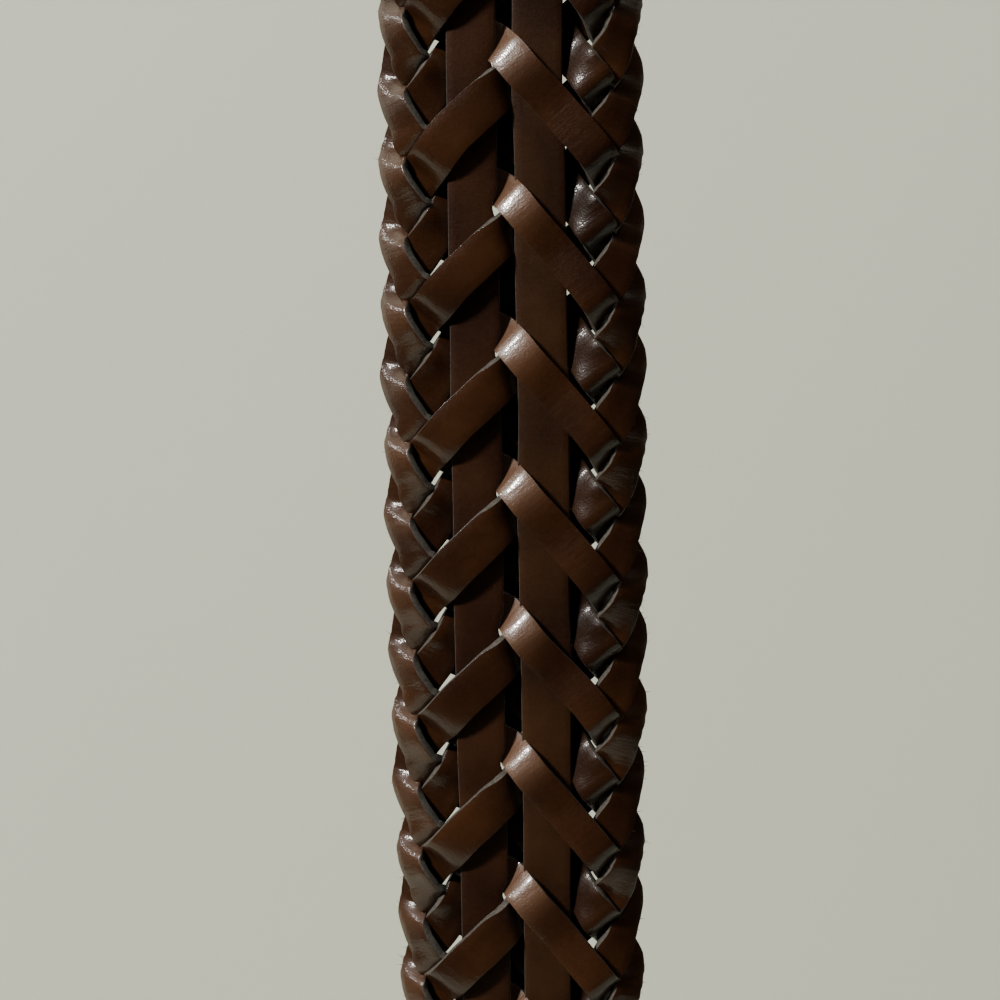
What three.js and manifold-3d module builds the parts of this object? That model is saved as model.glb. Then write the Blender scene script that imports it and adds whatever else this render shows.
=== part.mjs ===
// Braided leather belt, hanging straight down from its buckle.
// Millimetres. X runs across the belt, Z up along it, and the front faces -Y.
// The origin is the inner face of the buckle frame's top side, where it hangs on a hook.
import * as THREE from "three";
import { mergeVertices } from "three/addons/utils/BufferGeometryUtils.js";
import Module from "manifold-3d";

const wasm = await Module();
wasm.setup();

// Braid
const BRAID_WIDTH = 36.6; // over the humps of both edges
const PITCH = 9.84; // one hump of an edge, along the belt
const LACE_COUNT = 8;
const ZIGZAGS = 10.5; // full zigzags of one lace in the braid's length
const LACE_WIDTH = 4.1;
const LACE_THICKNESS = 1.05;
const CORE_WIDTH = 6.4;
const CORE_THICKNESS = 1.8;
const CORE_GAP = 2.6; // between the two straight straps
const CORE_SHIFT = -0.8; // the gap's middle lies left of the belt's middle
const CLEARANCE = 0.27;

// Tabs of the two ends
const TAB_WIDTH = 35;
const TAB_WALL = 1.9;
const TAB_LENGTH = 52; // from the buckle's bar to the tab's mouth
const TIP_LENGTH = 74; // from the mouth to the belt's tip
const POCKET_DEPTH = 9; // how far the braid goes into each tab
const FLARE = 9; // along the tab, from its thin part to its mouth part

// Buckle and keeper
const OPENING_HEIGHT = 30;
const OPENING_WIDTH = 38;
const FRAME_BAND = 5;
const FRAME_DEPTH = 4;
const FRAME_CORNER = 6;
const BAR_DIAMETER = 4;
const PRONG_WIDTH = 3.4;
const PRONG_THICKNESS = 2.6;
const KEEPER_WIDTH = 10;
const KEEPER_WALL = 2;
const KEEPER_DROP = 17; // from the bar to the keeper's middle

const LEATHER_DARK = 0x24120b;
const LEATHER_BROWN = 0x3a1e12;
const BRASS = 0xb08a4a;

const zigzagLength = LACE_COUNT * PITCH;
const braidLength = ZIGZAGS * zigzagLength;
const layer = LACE_THICKNESS + CLEARANCE;
const overCore = (CORE_THICKNESS + LACE_THICKNESS) / 2 + CLEARANCE;
const coreForward = 0.5 * layer; // the straps lie in front of the braid's middle plane
const braidReach = 2.8 * layer; // of a lace's middle plane from the braid's middle plane
const braidThickness = 2 * braidReach + LACE_THICKNESS;
const barZ = -OPENING_HEIGHT - BAR_DIAMETER / 2;
const tabMouthZ = barZ - TAB_LENGTH;
const braidTopZ = tabMouthZ + POCKET_DEPTH;
const tipMouthZ = braidTopZ - braidLength + POCKET_DEPTH;

const coreInner = CORE_GAP / 2;
const coreOuter = coreInner + CORE_WIDTH;
const rampInner = coreInner - 0.5 * CLEARANCE - 0.3 * LACE_THICKNESS;
const edgeRight = BRAID_WIDTH / 2 - CORE_SHIFT - LACE_WIDTH / 2;
const edgeLeft = BRAID_WIDTH / 2 + CORE_SHIFT - LACE_WIDTH / 2;
const climbAngle = Math.atan2(overCore, rampInner); // of a lace through the gap between the straps
const besideCore = coreOuter + CLEARANCE;
const marginRight = edgeRight - besideCore;
const marginLeft = edgeLeft - besideCore;

// One zigzag of a lace, seen from the front, as the places where its strip is drawn.
// across: from the gap's middle. down: in pitches from the zigzag's start at the left edge.
// upright: the strip is cut parallel to the straight straps there, not square to its own run.
// front and back: the lace lies over (1) or behind (-1) the straps, or in the open margin (0).
const STATIONS = [
  { across: -edgeLeft, down: 0.0, upright: false, front: 0, back: 0 },
  { across: -besideCore - 0.42 * marginLeft, down: 0.42, upright: false, front: 0, back: 0 },
  { across: -besideCore, down: 0.76, upright: true, front: -1, back: -1 },
  { across: -rampInner, down: 1.2, upright: true, front: -1, back: -1 },
  { across: rampInner, down: 1.4, upright: true, front: 1, back: -1 },
  { across: besideCore, down: 2.3, upright: true, front: 1, back: -1 },
  { across: besideCore + 0.54 * marginRight, down: 2.95, upright: false, front: 0, back: 0 },
  { across: besideCore + 0.86 * marginRight, down: 3.5, upright: false, front: 0, back: 0 },
  { across: edgeRight, down: 3.84, upright: false, front: 0, back: 0 },
  { across: besideCore + 0.7 * marginRight, down: 4.36, upright: false, front: 0, back: 0 },
  { across: besideCore + 0.5 * marginRight, down: 4.6, upright: false, front: 0, back: 0 },
  { across: besideCore, down: 5.2, upright: true, front: -1, back: -1 },
  { across: rampInner, down: 5.9, upright: true, front: -1, back: -1 },
  { across: -rampInner, down: 6.1, upright: true, front: 1, back: -1 },
  { across: -besideCore, down: 6.7, upright: true, front: 1, back: -1 },
  { across: -besideCore - 0.42 * marginLeft, down: 7.1, upright: false, front: 0, back: 0 },
  { across: -besideCore - 0.72 * marginLeft, down: 7.5, upright: false, front: 0, back: 0 },
];
const STATION_COUNT = STATIONS.length;
const RIGHT_TURN = 8; // the station of the right edge

// Order where the down-right run of a lace meets the down-left run of the lace that starts
// "later" pitches below it: true where the down-right run is nearer the front.
const CROSSINGS = [
  { later: 1, front: true, back: true },
  { later: 2, front: false, back: false },
  { later: 3, front: true, back: false },
  { later: 4, front: true, back: true },
  { later: 5, front: true, back: false },
  { later: 6, front: true, back: true },
  { later: 7, front: false, back: false },
];

// Relaxing the laces' heights
const ROUNDS = 3000;
const EASE = 0.04; // how strongly each round draws a lace flat
const LAST_ROUNDS = 1500; // rounds that only push crossing laces apart

// The strip's two edge points at a station, in plan (across, down).
function stationEdges(index) {
  const turn = Math.floor(index / STATION_COUNT);
  const here = STATIONS[index - turn * STATION_COUNT];
  const place = (i) => {
    const t = Math.floor(i / STATION_COUNT);
    const row = STATIONS[i - t * STATION_COUNT];
    return new THREE.Vector2(row.across, (row.down + t * LACE_COUNT) * PITCH);
  };
  const middle = place(index);
  const run = place(index + 1).sub(place(index - 1)).normalize();
  let side = new THREE.Vector2(-run.y, run.x).multiplyScalar(LACE_WIDTH / 2);
  if (here.upright) {
    side = new THREE.Vector2(0, (Math.sign(side.y) * LACE_WIDTH) / 2 / Math.abs(run.x));
  }
  return [middle.clone().add(side), middle.clone().sub(side)];
}

// The plan triangles of one zigzag, each corner with its place in the table of heights.
function planTriangles() {
  const triangles = [];
  for (let i = 0; i < STATION_COUNT; i++) {
    const corners = [];
    for (const index of [i, i + 1]) {
      stationEdges(index).forEach((point, edge) => {
        corners.push({ point, slot: 2 * (index % STATION_COUNT) + edge });
      });
    }
    const [a, b, c, d] = corners;
    const falling = i < RIGHT_TURN;
    triangles.push({ corners: [a, b, c], falling }, { corners: [b, d, c], falling });
  }
  return triangles;
}

function weightsAt(point, corners) {
  const [a, b, c] = corners.map((corner) => corner.point);
  const area = b.clone().sub(a).cross(c.clone().sub(a));
  const toB = point.clone().sub(a).cross(c.clone().sub(a)) / area;
  const toC = b.clone().sub(a).cross(point.clone().sub(a)) / area;
  return [1 - toB - toC, toB, toC];
}

// The part of a polygon that lies inside a triangle.
function clipped(polygon, triangle) {
  const [a, b, c] = triangle;
  const turn = Math.sign(b.clone().sub(a).cross(c.clone().sub(a)));
  let kept = polygon;
  for (let i = 0; i < 3; i++) {
    const from = triangle[i];
    const along = triangle[(i + 1) % 3].clone().sub(from);
    const depth = (p) => turn * along.cross(p.clone().sub(from));
    const next = [];
    kept.forEach((p, j) => {
      const q = kept[(j + 1) % kept.length];
      const dp = depth(p);
      const dq = depth(q);
      if (dp >= 0) next.push(p);
      if (dp * dq < 0) next.push(p.clone().lerp(q, dp / (dp - dq)));
    });
    kept = next;
  }
  return kept;
}

const laceKind = (lace) => (((lace % 2) + 2) % 2 === 0 ? "front" : "back");

// Every place where two laces cross, as weights on the heights of both.
function crossingRules() {
  const rules = [];
  const plan = planTriangles();
  for (const kind of ["front", "back"]) {
    for (let later = 1; later < LACE_COUNT; later++) {
      const otherKind = laceKind(later + (kind === "back" ? 1 : 0));
      for (const turn of [-1, 0, 1]) {
        const shift = new THREE.Vector2(0, (later + turn * LACE_COUNT) * PITCH);
        for (const mine of plan) {
          for (const theirs of plan) {
            const moved = theirs.corners.map((corner) => ({
              point: corner.point.clone().add(shift),
              slot: corner.slot,
            }));
            const shared = clipped(
              mine.corners.map((corner) => corner.point),
              moved.map((corner) => corner.point),
            );
            if (shared.length < 3 || !mine.falling) continue;
            const row = CROSSINGS[later - 1];
            let over = row[kind];
            if (theirs.falling) over = shift.y > 0;
            for (const point of shared) {
              rules.push({
                over: over ? 1 : -1,
                mine: { kind, corners: mine.corners, weights: weightsAt(point, mine.corners) },
                theirs: { kind: otherKind, corners: moved, weights: weightsAt(point, moved) },
              });
            }
          }
        }
      }
    }
  }
  return rules;
}

// Heights of both edges of both kinds of lace at each station, from the straps' middle plane.
function relaxedHeights() {
  const heights = { front: [], back: [] };
  const held = { front: [], back: [] };
  for (const kind of ["front", "back"]) {
    STATIONS.forEach((row) => {
      const level = row[kind] === 0 ? -0.5 * layer : row[kind] * overCore;
      heights[kind].push(level, level);
      const fixed = kind === "front" && row[kind] !== 0;
      held[kind].push(fixed, fixed);
    });
  }
  const highest = STATIONS.map((row) => (row.back === -1 ? -overCore : braidReach - coreForward));
  const limited = (h, top) => Math.max(-braidReach - coreForward, Math.min(h, top));
  const rules = crossingRules();
  for (let round = 0; round < ROUNDS; round++) {
    if (round < ROUNDS - LAST_ROUNDS) {
      for (const kind of ["front", "back"]) {
        const now = heights[kind].slice();
        const size = now.length;
        now.forEach((h, slot) => {
          if (held[kind][slot]) return;
          const beside = (now[(slot + 2) % size] + now[(slot + size - 2) % size]) / 2;
          heights[kind][slot] += EASE * (beside - h);
        });
      }
    }
    for (const rule of rules) {
      const ends = [rule.mine, rule.theirs];
      const [mine, theirs] = ends.map((end) =>
        end.corners.reduce((sum, c, i) => sum + end.weights[i] * heights[end.kind][c.slot], 0),
      );
      const short = layer - rule.over * (mine - theirs);
      if (short <= 0) continue;
      let give = 0;
      for (const end of ends) {
        end.corners.forEach((c, i) => {
          if (!held[end.kind][c.slot]) give += end.weights[i] ** 2;
        });
      }
      if (give < 1e-6) continue;
      ends.forEach((end, which) => {
        const push = (which === 0 ? rule.over : -rule.over) * (short / give);
        end.corners.forEach((c, i) => {
          if (!held[end.kind][c.slot]) heights[end.kind][c.slot] += push * end.weights[i];
        });
      });
    }
    heights.front.forEach((h, slot) => {
      heights.front[slot] = limited(h, braidReach - coreForward);
    });
    heights.back.forEach((h, slot) => {
      heights.back[slot] = limited(h, highest[Math.floor(slot / 2)]);
    });
  }
  return heights;
}

const HEIGHTS = relaxedHeights();

function inSpace(across, down, height) {
  return new THREE.Vector3(across + CORE_SHIFT, -(height + coreForward), braidTopZ - down);
}

// A closed solid through sections of four corners each, listed in the same turning sense.
function solidThrough(sections) {
  const positions = sections.flat().flatMap((p) => [p.x, p.y, p.z]);
  const faces = [];
  for (let i = 0; i + 1 < sections.length; i++) {
    for (let k = 0; k < 4; k++) {
      const a = 4 * i + k;
      const b = 4 * i + ((k + 1) % 4);
      if (k === 2) faces.push(a, b, b + 4, a, b + 4, a + 4);
      else faces.push(a, b, a + 4, b, b + 4, a + 4);
    }
  }
  const last = 4 * (sections.length - 1);
  faces.push(0, 2, 1, 0, 3, 2, last, last + 1, last + 2, last, last + 2, last + 3);
  const geometry = new THREE.BufferGeometry();
  geometry.setAttribute("position", new THREE.Float32BufferAttribute(positions, 3));
  geometry.setIndex(faces);
  return geometry;
}

// One lace: its strip between the two ends of the braid, thickened front to back. Where it
// climbs steeply through the gap between the straps, it is thickened square to the climb.
function laceGeometry(lace) {
  const kind = laceKind(lace);
  const start = lace * PITCH;
  const rows = [];
  for (let turn = -2; turn <= ZIGZAGS + 1; turn++) {
    for (let i = 0; i < STATION_COUNT; i++) {
      const down = start + STATIONS[i].down * PITCH + turn * zigzagLength;
      if (down < LACE_WIDTH || down > braidLength - LACE_WIDTH) continue;
      const edges = stationEdges(i).map((point, edge) => {
        const depth = point.y + start + turn * zigzagLength;
        return inSpace(point.x, depth, HEIGHTS[kind][2 * i + edge]);
      });
      const climbs = kind === "front" && Math.abs(STATIONS[i].across) === rampInner;
      const climbSide = i < RIGHT_TURN ? 1 : -1;
      const lean = climbs ? (climbSide * LACE_THICKNESS * Math.tan(climbAngle / 2)) / 2 : 0;
      const half = new THREE.Vector3(lean, LACE_THICKNESS / 2, 0);
      rows.push({ edges, half });
    }
  }
  const sections = rows.map(({ edges: [left, right], half }) => [
    left.clone().add(half),
    right.clone().add(half),
    right.clone().sub(half),
    left.clone().sub(half),
  ]);
  return solidThrough(sections);
}

function coreGeometry(side) {
  const geometry = new THREE.BoxGeometry(CORE_WIDTH, CORE_THICKNESS, braidLength - 1);
  const middle = CORE_SHIFT + side * (coreInner + CORE_WIDTH / 2);
  return geometry.translate(middle, -coreForward, braidTopZ - braidLength / 2);
}

function toManifold(geometry) {
  const bare = geometry.clone();
  bare.deleteAttribute("normal");
  bare.deleteAttribute("uv");
  const merged = mergeVertices(bare, 1e-4);
  const mesh = new wasm.Mesh({
    numProp: 3,
    vertProperties: merged.getAttribute("position").array,
    triVerts: new Uint32Array(merged.index.array),
  });
  return new wasm.Manifold(mesh);
}

function toGeometry(solid) {
  const mesh = solid.getMesh();
  const geometry = new THREE.BufferGeometry();
  geometry.setAttribute("position", new THREE.BufferAttribute(mesh.vertProperties, 3));
  geometry.setIndex(new THREE.BufferAttribute(mesh.triVerts, 1));
  return geometry;
}

// A side outline in (front-back, up) extruded across the belt, centred on X = 0.
function acrossSolid(shape, width, curveSegments) {
  const options = { depth: width, bevelEnabled: false, curveSegments };
  const geometry = new THREE.ExtrudeGeometry(shape, options);
  geometry.rotateX(Math.PI / 2);
  geometry.rotateZ(Math.PI / 2);
  geometry.translate(-width / 2, 0, 0);
  return toManifold(geometry);
}

const pocketHalf = braidThickness / 2 + CLEARANCE;
const mouthHalf = pocketHalf + TAB_WALL;
const thinHalf = TAB_WALL + 0.4;
const eyeRadius = BAR_DIAMETER / 2 + CLEARANCE;

// The folded tab: a closed eye round the bar, a thin glued part, and a pocket for the braid.
function buckleTab() {
  const outer = eyeRadius + TAB_WALL;
  const neck = Math.sqrt(outer ** 2 - thinHalf ** 2);
  const pocketFloor = tabMouthZ + POCKET_DEPTH + CLEARANCE;
  const shape = new THREE.Shape();
  shape.moveTo(-thinHalf, barZ - neck);
  shape.lineTo(-thinHalf, pocketFloor + FLARE);
  shape.lineTo(-mouthHalf, pocketFloor);
  shape.lineTo(-mouthHalf, tabMouthZ);
  shape.lineTo(-pocketHalf, tabMouthZ);
  shape.lineTo(-pocketHalf, pocketFloor);
  shape.lineTo(pocketHalf, pocketFloor);
  shape.lineTo(pocketHalf, tabMouthZ);
  shape.lineTo(mouthHalf, tabMouthZ);
  shape.lineTo(mouthHalf, pocketFloor);
  shape.lineTo(thinHalf, pocketFloor + FLARE);
  shape.lineTo(thinHalf, barZ - neck);
  const angle = Math.atan2(neck, thinHalf);
  shape.absarc(0, barZ, outer, -angle, Math.PI + angle, false);
  const eye = new THREE.Path();
  eye.absarc(0, barZ, eyeRadius, 0, 2 * Math.PI, true);
  shape.holes.push(eye);
  const slotHeight = 2 * (outer + 3);
  const slot = new THREE.BoxGeometry(PRONG_WIDTH + 2, 4 * outer, slotHeight);
  slot.translate(0, 0, barZ + 2);
  return acrossSolid(shape, TAB_WIDTH, 16).subtract(toManifold(slot));
}

// The tip's tab: a pocket for the braid, a flat glued part and a rounded end.
function tipTab() {
  const endZ = tipMouthZ - TIP_LENGTH;
  const pocketFloor = tipMouthZ - POCKET_DEPTH - CLEARANCE;
  const shape = new THREE.Shape();
  shape.moveTo(-mouthHalf, tipMouthZ);
  shape.lineTo(-mouthHalf, pocketFloor);
  shape.lineTo(-thinHalf, pocketFloor - FLARE);
  shape.lineTo(-thinHalf, endZ);
  shape.lineTo(thinHalf, endZ);
  shape.lineTo(thinHalf, pocketFloor - FLARE);
  shape.lineTo(mouthHalf, pocketFloor);
  shape.lineTo(mouthHalf, tipMouthZ);
  shape.lineTo(pocketHalf, tipMouthZ);
  shape.lineTo(pocketHalf, pocketFloor);
  shape.lineTo(-pocketHalf, pocketFloor);
  shape.lineTo(-pocketHalf, tipMouthZ);
  const outline = new THREE.Shape();
  const half = TAB_WIDTH / 2;
  outline.moveTo(-half, tipMouthZ + 1);
  outline.lineTo(-half, endZ + half);
  outline.bezierCurveTo(-half, endZ + 0.3 * half, -0.5 * half, endZ, 0, endZ);
  outline.bezierCurveTo(0.5 * half, endZ, half, endZ + 0.3 * half, half, endZ + half);
  outline.lineTo(half, tipMouthZ + 1);
  const depth = 4 * mouthHalf;
  const plan = new THREE.ExtrudeGeometry(outline, { depth, bevelEnabled: false, curveSegments: 10 });
  plan.translate(0, 0, -depth / 2);
  plan.rotateX(Math.PI / 2);
  return acrossSolid(shape, TAB_WIDTH, 1).intersect(toManifold(plan));
}

function roundedRectangle(path, width, low, high, radius) {
  const half = width / 2;
  path.moveTo(-half + radius, low);
  path.lineTo(half - radius, low);
  path.absarc(half - radius, low + radius, radius, -Math.PI / 2, 0, false);
  path.absarc(half - radius, high - radius, radius, 0, Math.PI / 2, false);
  path.absarc(-half + radius, high - radius, radius, Math.PI / 2, Math.PI, false);
  path.absarc(-half + radius, low + radius, radius, Math.PI, 1.5 * Math.PI, false);
  return path;
}

// The buckle: frame, bar and prong in one piece.
function buckle() {
  const low = barZ - BAR_DIAMETER / 2;
  const width = OPENING_WIDTH + 2 * FRAME_BAND;
  const frame = roundedRectangle(new THREE.Shape(), width, low, FRAME_BAND, FRAME_CORNER);
  const hole = new THREE.Path();
  roundedRectangle(hole, OPENING_WIDTH, low - 20, 0, 2);
  const ringDepth = FRAME_DEPTH - 2;
  const plate = new THREE.ExtrudeGeometry(frame, {
    depth: ringDepth,
    bevelThickness: 1,
    bevelSize: 1,
    bevelOffset: -1,
    bevelSegments: 2,
    curveSegments: 8,
  });
  plate.translate(0, 0, -ringDepth / 2);
  plate.rotateX(Math.PI / 2);
  const cutShape = roundedRectangle(new THREE.Shape(), OPENING_WIDTH, low - 20, 0, 2);
  const cut = new THREE.ExtrudeGeometry(cutShape, { depth: 20, bevelEnabled: false, curveSegments: 6 });
  cut.translate(0, 0, -10);
  cut.rotateX(Math.PI / 2);
  const bar = new THREE.CylinderGeometry(BAR_DIAMETER / 2, BAR_DIAMETER / 2, OPENING_WIDTH + 4, 24);
  bar.rotateZ(Math.PI / 2);
  bar.translate(0, 0, barZ);
  const front = -FRAME_DEPTH / 2 - 0.1;
  const prong = new THREE.Shape();
  prong.moveTo(1, barZ - 3.4);
  prong.lineTo(-2.4, barZ - 3.0);
  prong.lineTo(front - PRONG_THICKNESS, barZ + 4);
  prong.lineTo(front - PRONG_THICKNESS, FRAME_BAND - 2.5);
  prong.lineTo(front - 0.6 * PRONG_THICKNESS, FRAME_BAND - 0.6);
  prong.lineTo(front + 0.4, FRAME_BAND - 0.6);
  prong.lineTo(front + 0.4, -0.4);
  prong.lineTo(front, -1);
  prong.lineTo(front, barZ + 6);
  prong.lineTo(2.6, barZ + 3.2);
  prong.lineTo(3.4, barZ);
  prong.lineTo(2.8, barZ - 2.4);
  return toManifold(plate)
    .subtract(toManifold(cut))
    .add(toManifold(bar))
    .add(acrossSolid(prong, PRONG_WIDTH, 1));
}

// The keeper: a flat band round the thin part of the tab, with room for the belt's other end.
function keeperLoop() {
  const halfWidth = BRAID_WIDTH / 2 + 2 * CLEARANCE;
  const back = thinHalf + CLEARANCE;
  const front = back - 2 * thinHalf - 3 * CLEARANCE - braidThickness;
  const ring = (grow) => {
    const shape = new THREE.Shape();
    const radius = 1.2 + grow;
    const half = halfWidth + grow;
    const low = front - CLEARANCE - grow;
    const high = back + grow;
    return roundedRectangle(shape, 2 * half, low, high, radius);
  };
  const solid = (grow, height) => {
    const options = { depth: height, bevelEnabled: false, curveSegments: 5 };
    const geometry = new THREE.ExtrudeGeometry(ring(grow), options);
    return toManifold(geometry.translate(0, 0, barZ - KEEPER_DROP - height / 2));
  };
  return solid(KEEPER_WALL, KEEPER_WIDTH).subtract(solid(0, KEEPER_WIDTH + 2));
}

const belt = new THREE.Group();

function addPiece(name, geometry, color, roughness, metalness) {
  const material = new THREE.MeshStandardMaterial({ color, roughness, metalness });
  const mesh = new THREE.Mesh(geometry, material);
  mesh.name = name;
  belt.add(mesh);
}

addPiece("core_left", coreGeometry(-1), LEATHER_DARK, 0.45, 0);
addPiece("core_right", coreGeometry(1), LEATHER_BROWN, 0.45, 0);
for (let lace = 0; lace < LACE_COUNT; lace++) {
  addPiece("lace_" + (lace + 1), laceGeometry(lace), LEATHER_BROWN, 0.4, 0);
}
addPiece("buckle_tab", toGeometry(buckleTab()), LEATHER_DARK, 0.5, 0);
addPiece("tip_tab", toGeometry(tipTab()), LEATHER_DARK, 0.5, 0);
addPiece("keeper_loop", toGeometry(keeperLoop()), LEATHER_DARK, 0.5, 0);
addPiece("buckle", toGeometry(buckle()), BRASS, 0.3, 1);

export default belt;
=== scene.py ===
import math

import bpy
import numpy as np
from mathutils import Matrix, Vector


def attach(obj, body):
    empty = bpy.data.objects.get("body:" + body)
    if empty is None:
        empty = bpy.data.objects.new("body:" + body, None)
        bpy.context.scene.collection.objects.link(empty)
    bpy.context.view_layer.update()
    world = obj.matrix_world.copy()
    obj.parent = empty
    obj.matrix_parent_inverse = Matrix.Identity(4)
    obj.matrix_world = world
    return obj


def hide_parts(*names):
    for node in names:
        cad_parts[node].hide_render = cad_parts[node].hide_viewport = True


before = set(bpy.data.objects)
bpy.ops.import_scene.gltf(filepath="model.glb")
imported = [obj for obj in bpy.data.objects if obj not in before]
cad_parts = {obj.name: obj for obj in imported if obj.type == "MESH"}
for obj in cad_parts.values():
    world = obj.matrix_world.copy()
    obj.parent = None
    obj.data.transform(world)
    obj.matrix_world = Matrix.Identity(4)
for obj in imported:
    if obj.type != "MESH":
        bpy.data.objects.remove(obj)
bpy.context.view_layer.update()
bpy.ops.object.select_all(action="DESELECT")

MM = 0.001

# Braid, in millimetres
PITCH = 9.84
LACE_COUNT = 8
ZIGZAG = LACE_COUNT * PITCH
BRAID_TOP = -75.0
BRAID_LENGTH = 826.56
LACE_WIDTH = 4.9
LACE_BROADER = 1.18
TAUT_EASE = 3.0
# middle and reach of each taut place down a zigzag: of a surfacing lace, and of a hidden one
TAUT_PLACES = [[(0.5, 3.5), (21.0, 8.5), (38.0, 3.5)], [(0.5, 3.5), (38.0, 3.5)]]
LACE_THICKNESS = 1.25
LACE_CROWN = 0.12
STRAP_THICKNESS = 1.7
STRAP_LEFT = (-7.75, -0.75)
STRAP_RIGHT = (1.5, 8.6)
BRAID_SHIFT = -0.8
BRAID_FORWARD = 0.71
TOUCH = 0.05

# One zigzag from the front, in millimetres: of a lace that surfaces over the straps, and of a hidden one
RUN_DOWN_RIGHT = [
    # surfacing across, down, hidden across, down
    (-15.2, 0.0, -15.2, 0.0),
    (-14.6, 2.3, -14.6, 2.3),
    (-13.4, 4.5, -13.4, 4.5),
    (-12.4, 6.5, -12.4, 6.5),
    (-8.0, 10.3, -8.0, 10.3),
    (-1.2, 13.0, -1.2, 13.0),
    (1.0, 14.6, 1.0, 14.6),
    (3.4, 17.5, 3.4, 17.2),
    (7.8, 22.5, 7.8, 22.4),
    (11.6, 27.0, 11.6, 27.2),
    (14.2, 30.9, 14.2, 31.1),
    (16.2, 34.4, 16.2, 34.5),
]
RUN_DOWN_LEFT = [
    # surfacing across, down, hidden across, down
    (17.4, 37.2, 17.4, 37.2),
    (16.8, 40.2, 16.8, 40.2),
    (15.5, 43.3, 15.5, 43.4),
    (13.8, 46.4, 13.8, 46.6),
    (11.6, 49.1, 11.6, 49.5),
    (7.8, 52.4, 7.8, 52.9),
    (3.0, 56.2, 3.0, 56.6),
    (0.9, 57.9, 0.9, 58.3),
    (-1.2, 59.5, -1.2, 59.7),
    (-4.6, 62.5, -5.2, 62.6),
    (-7.8, 65.4, -7.8, 65.6),
    (-11.4, 69.8, -10.2, 69.2),
    (-13.6, 73.4, -12.8, 73.0),
    (-14.6, 76.3, -14.6, 76.4),
]
TURN_AT = len(RUN_DOWN_RIGHT)

# Is a run down to the right in front of the run down to the left of the lace so many pitches later
IN_FRONT = {
    # pitches later: (a surfacing lace, a hidden lace)
    1: (True, True),
    2: (False, False),
    3: (True, False),
    4: (True, True),
    5: (True, True),
    6: (True, True),
    7: (False, False),
}

# The braid is drawn a little narrower at even places along it
PULL = 0.035
PULL_FROM = 391.0
PULL_LENGTH = 140.0

# The braid is squeezed where the tabs hold its ends
SQUEEZE = 0.07
SQUEEZE_LENGTH = 34.0

# How the laces' flat sides lean at the two edges of the belt, and how firmly
LEAN_LEFT = -1.0
LEAN_LEFT_PLACE = 1.5
LEAN_RIGHT = 0.7
LEAN_RIGHT_PLACE = 38.0
LEAN_REACH = 6.5
LEAN_HOLD = 0.20
LEAN_EASE = 0.03

# The fold of a surfacing lace between the straps, where it comes up from under the left one
FOLD_ACROSS = 0.35
FOLD_REACH = 1.2
FOLD_LEVEL = 1.56
FOLD_HOLD = 2.2
FOLD_FIRMNESS = 2.2
FOLD_NOTCH = 0.8
NOTCH_REACH = 1.7
FOLD_BULGE = 0.75
BULGE_START = 0.6
BULGE_PEAK = 4.0
BULGE_END = 11.0

# Where a lace is rubbed to a polish with a painted highlight in its dye, or dulled with painted shade in its
# dye if less than nothing: place down a zigzag, reach, how much
RUBBED_PAINTED_HIGHLIGHT_BEND = (0.2, 2.0, 0.33)
RUBBED_PAINTED_HIGHLIGHT_FOLD = (1.1, 2.1, 1.2)  # its place is counted from the fold
# painted shade, with less polish, on a hidden lace where it shows right of the right strap
DULLED_AND_SHADED_BACK = (25.5, 3.2, -0.3)

# How the laces settle over and under each other
STATIONS = 210  # along one zigzag
CURVE_PARTS = 24  # between two rows of the tables
EVEN_STEP = 0.5  # between the stations of the finished lace
START_HEIGHT = -0.4
ROUNDS = 900
LAST_ROUNDS = 6  # of easing only
MEETINGS_EVERY = 300  # rounds
MEETING_REACH = 0.7  # of a station
STIFF_RISE = 0.22  # how much of its unevenness a lace loses in a round
STIFF_LEAN = 0.3
STIFF_AT_LAST = 0.1
TENSION = 0.2
PUSH_OVER = 1.6  # how far past touching a round pushes
STEEPEST = 1.5  # how much thicker a steep lace counts
STRAP_SPARE = (0.4, 0.2)  # of a strap's inner edge that a surfacing lace and a hidden one don't feel
STRAP_CORNER = 0.4
FOLD_FREE = 0.05  # hold of the fold above which the straps don't push
FOLD_FLATTENS = 0.8
PRESSED = 4.2  # how far back the laces may stand from the straps' middle
PRESS_BACK = 0.6
LANES = np.array([-1.0, -0.5, 0.0, 0.5, 1.0])

# How far each lace and strap wanders from its even course: seed of the first, size, reach in stations
WANDER_ACROSS = (40, 0.13, 22)
WANDER_DOWN = (60, 0.16, 22)
WANDER_WIDTH = (80, 0.025, 40)
STRAP_EDGE_WANDER = (0, 0.10, 16)
STRAP_FACE_WANDER = (2, 0.05, 12)

# Ends, corners and grids of laces and straps
LACE_END = 2.6
LACE_ROUNDING = 0.2
GRAIN_SHIFT = 31.7  # along the leather, from one lace to the next
STRAP_END = 0.5
STRAP_ROWS = 1150
STRAP_LANES = 7
STRAP_CROWN = 0.5
STRAP_ROUNDING = 0.25

# Loose fibres: edge of the belt, how far out its humps begin, and how often a station has one
FIBRE_EDGES = ((-1, 15.2, 0.2), (1, 17.2, 0.36))
FIBRE_LENGTH = (0.4, 1.3)
FIBRE_THICKNESS = 0.075
FIBRE_ROOT = 0.2


def smooth(t):
    return t * t * (3 - 2 * t)


def through(a, b, c, d, t):
    """A place on the smooth curve from b to c, where a comes before them and d after."""
    return (2 * b + (c - a) * t + (2 * a - 5 * b + 4 * c - d) * t**2 + (3 * b - a - 3 * c + d) * t**3) / 2


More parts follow.
